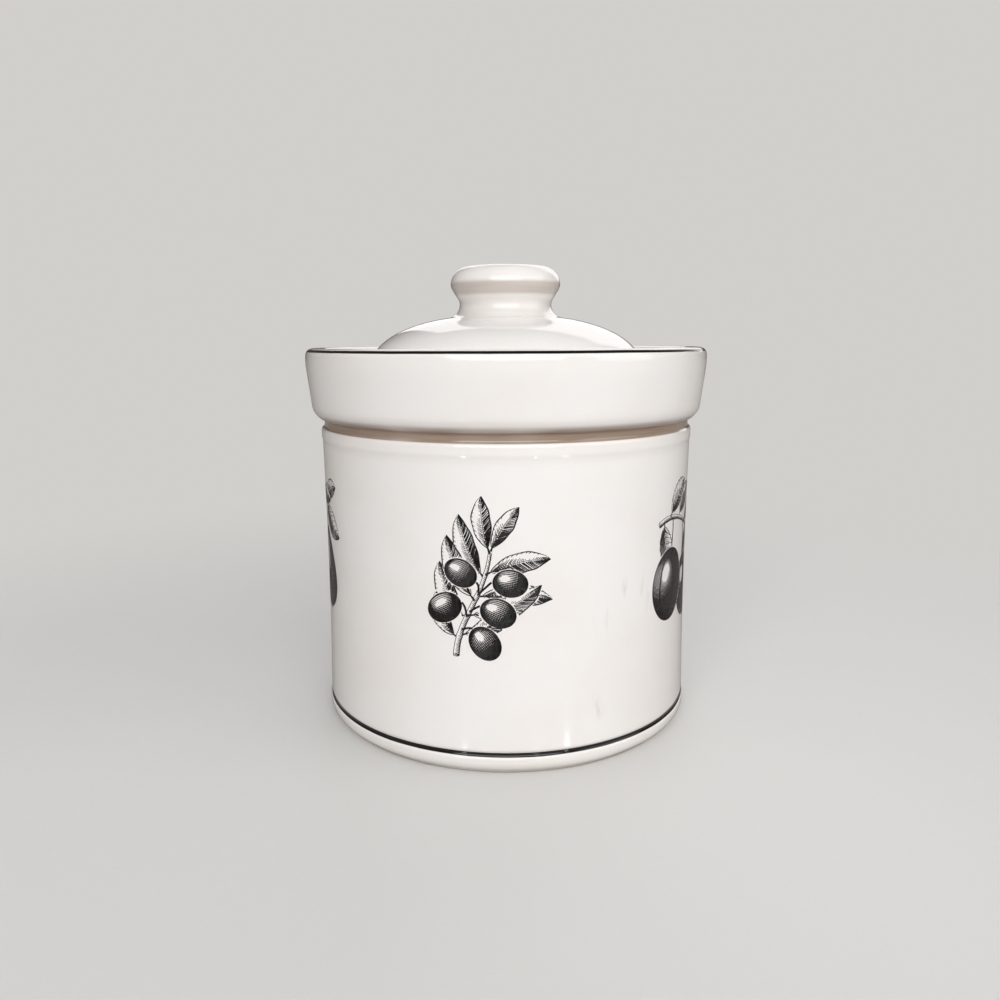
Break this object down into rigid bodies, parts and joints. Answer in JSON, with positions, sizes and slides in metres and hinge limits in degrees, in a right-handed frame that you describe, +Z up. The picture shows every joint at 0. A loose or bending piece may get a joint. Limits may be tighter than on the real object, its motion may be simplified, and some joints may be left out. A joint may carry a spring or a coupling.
{
  "type": "stoneware canister",
  "caption": "White glazed stoneware kitchen canister: a cylindrical jar with a flared collar and a recessed domed lid with a turned knob, closed by a soft seal ring.",
  "frame": {"origin": "on the table, at the middle of the foot ring", "axes": "+Z up along the turned axis; -Y faces the viewer of the reference picture; +X to the viewer's right"},
  "size_m": [0.1522, 0.1522, 0.172],
  "materials": {
    "white_glaze": "glossy white glaze over buff stoneware",
    "seal_silicone": "matt milky silicone"
  },
  "bodies": {
    "jar": {"stoneware_jar": "white_glaze"},
    "seal": {"lid_seal_ring": "seal_silicone"},
    "lid": {"stoneware_lid": "white_glaze"}
  },
  "joints": [
    {"name": "lid_lift", "type": "slide", "parent": "jar", "child": "seal", "axis": [0, 0, 1], "range_m": [0, 0.08]},
    {"name": "lid_turn", "type": "hinge", "parent": "seal", "child": "lid", "pos_m": [0, 0, 0.125], "axis": [0, 0, 1], "continuous": true}
  ]
}
